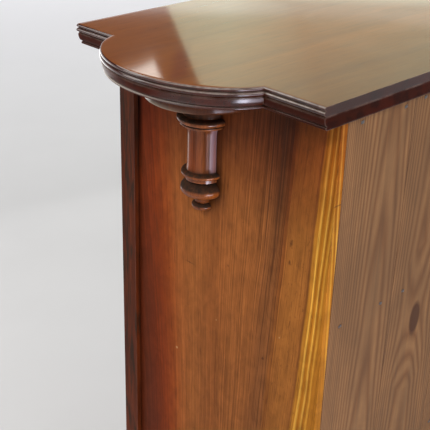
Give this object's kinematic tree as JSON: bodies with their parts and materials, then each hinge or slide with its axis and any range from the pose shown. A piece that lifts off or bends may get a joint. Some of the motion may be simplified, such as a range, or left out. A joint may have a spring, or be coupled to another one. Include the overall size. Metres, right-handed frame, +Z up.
{
  "type": "music cabinet",
  "caption": "Mahogany music cabinet with a lobed moulded top on half-round corbels and split-turned pendants, shelves for sheet music and a lockable panelled door.",
  "frame": {"origin": "on the floor, under the middle of the bounding box", "axes": "+Z up, the door on the front faces -Y, +X to the right of someone facing the front"},
  "size_m": [0.65, 0.3599, 0.965],
  "materials": {
    "dark_mahogany": "french polished, high gloss",
    "striped_mahogany": "french polished, satin",
    "shelf_wood": "thin polish, dull",
    "back_pine": "stained, unpolished",
    "brass": "aged satin",
    "iron": "dark, worn"
  },
  "bodies": {
    "carcass": {"top_board": "dark_mahogany", "top_under_board": "dark_mahogany", "corbel_left": "dark_mahogany", "corbel_right": "dark_mahogany", "pendant_left": "dark_mahogany", "pendant_right": "dark_mahogany", "side_board_left": "striped_mahogany", "side_board_right": "striped_mahogany", "front_stile_left": "dark_mahogany", "front_stile_right": "dark_mahogany", "front_top_rail": "dark_mahogany", "front_bottom_rail": "dark_mahogany", "bottom_board": "shelf_wood", "shelf_1": "shelf_wood", "shelf_2": "shelf_wood", "shelf_3": "shelf_wood", "shelf_4": "shelf_wood", "shelf_5": "shelf_wood", "shelf_6": "shelf_wood", "back_board_1": "back_pine", "back_board_2": "back_pine", "back_board_3": "back_pine", "back_board_4": "back_pine", "top_batten_left": "shelf_wood", "top_batten_right": "shelf_wood", "door_stop": "shelf_wood", "plinth_front": "dark_mahogany", "plinth_left": "dark_mahogany", "plinth_right": "dark_mahogany", "plinth_rear": "back_pine", "plinth_block_front_left": "back_pine", "plinth_block_front_right": "back_pine", "plinth_block_rear_left": "back_pine", "plinth_block_rear_right": "back_pine", "base_moulding_front": "dark_mahogany", "base_moulding_left": "dark_mahogany", "base_moulding_right": "dark_mahogany", "lower_hinge_frame_leaf": "brass", "upper_hinge_frame_leaf": "brass", "lower_hinge_pin": "brass", "upper_hinge_pin": "brass", "strike_plate": "brass"},
    "door": {"door_hinge_stile": "dark_mahogany", "door_lock_stile": "dark_mahogany", "door_top_rail": "dark_mahogany", "door_bottom_rail": "dark_mahogany", "door_panel": "striped_mahogany", "door_moulding_top": "dark_mahogany", "door_moulding_bottom": "dark_mahogany", "door_moulding_left": "dark_mahogany", "door_moulding_right": "dark_mahogany", "lower_hinge_door_leaf": "brass", "upper_hinge_door_leaf": "brass", "lock_case": "iron", "escutcheon": "brass", "door_knob": "brass"},
    "key": {"key": "iron"},
    "bolt": {"lock_bolt": "brass"}
  },
  "joints": [
    {"name": "door_swing", "type": "hinge", "parent": "carcass", "child": "door", "pos_m": [0.184, -0.144, 0.1173], "axis": [0, 0, 1], "range_deg": [0, 170]},
    {"name": "key_turn", "type": "hinge", "parent": "door", "child": "key", "pos_m": [-0.169, -0.14, 0.542], "axis": [0, -1, 0], "range_deg": [0, 180]},
    {"name": "bolt_slide", "type": "slide", "parent": "door", "child": "bolt", "axis": [-1, 0, 0], "range_m": [0, 0.008]}
  ],
  "couplings": [
    {"joint": "bolt_slide", "follows": "key_turn", "m_per_rad": 0.0025465}
  ]
}
